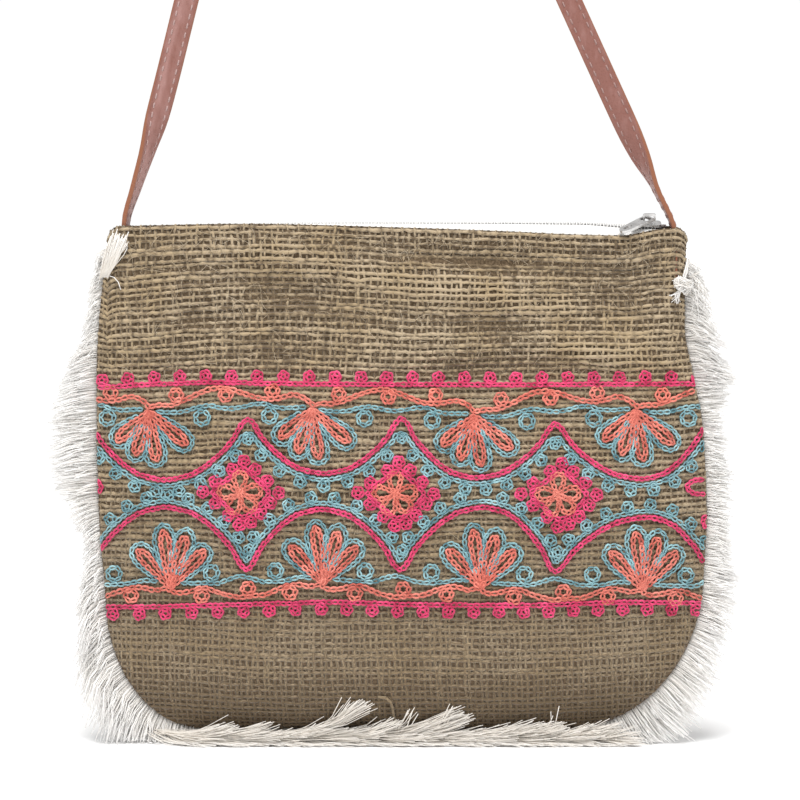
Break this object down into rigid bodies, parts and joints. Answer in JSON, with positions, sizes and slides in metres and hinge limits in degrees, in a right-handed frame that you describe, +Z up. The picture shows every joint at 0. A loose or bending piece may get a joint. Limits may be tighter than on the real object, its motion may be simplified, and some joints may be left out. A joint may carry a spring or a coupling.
{
  "type": "fringed shoulder bag",
  "caption": "Flat zipped shoulder bag of jute cloth with a cotton fringe sewn along its side and bottom seam and one long leather strap",
  "frame": {"origin": "the underside of the strap's top bend, where a shoulder, hand or hook carries the bag", "axes": "+Z up, the embroidered front panel faces -Y, +X to the right seen from the front"},
  "size_m": [0.3143, 0.0486, 0.5542],
  "materials": {
    "jute": "coarse plain-woven jute, matt, tan, with chain-stitched bands in pink, coral and light blue on the front",
    "cotton": "loose cream cotton strands, matt",
    "leather": "rosy brown leather with a soft sheen, stitched along both edges",
    "zip_tape": "white woven tape, matt",
    "zip_coil": "white nylon coil",
    "zip_metal": "nickel-plated cast metal, slightly dull"
  },
  "bodies": {
    "bag": {"front_panel": "jute", "back_panel": "jute", "fringe": "cotton", "strap": "leather", "zip_tape_front": "zip_tape", "zip_tape_back": "zip_tape", "zip_coil": "zip_coil", "zip_slider": "zip_metal"},
    "pull": {"zip_pull": "zip_metal"}
  },
  "joints": [
    {"name": "zip_pull_swing", "type": "hinge", "parent": "bag", "child": "pull", "pos_m": [0.14485, -0.00109, -0.30764], "axis": [-0.5736, 0.7912, 0.212], "range_deg": [0, 95]}
  ]
}
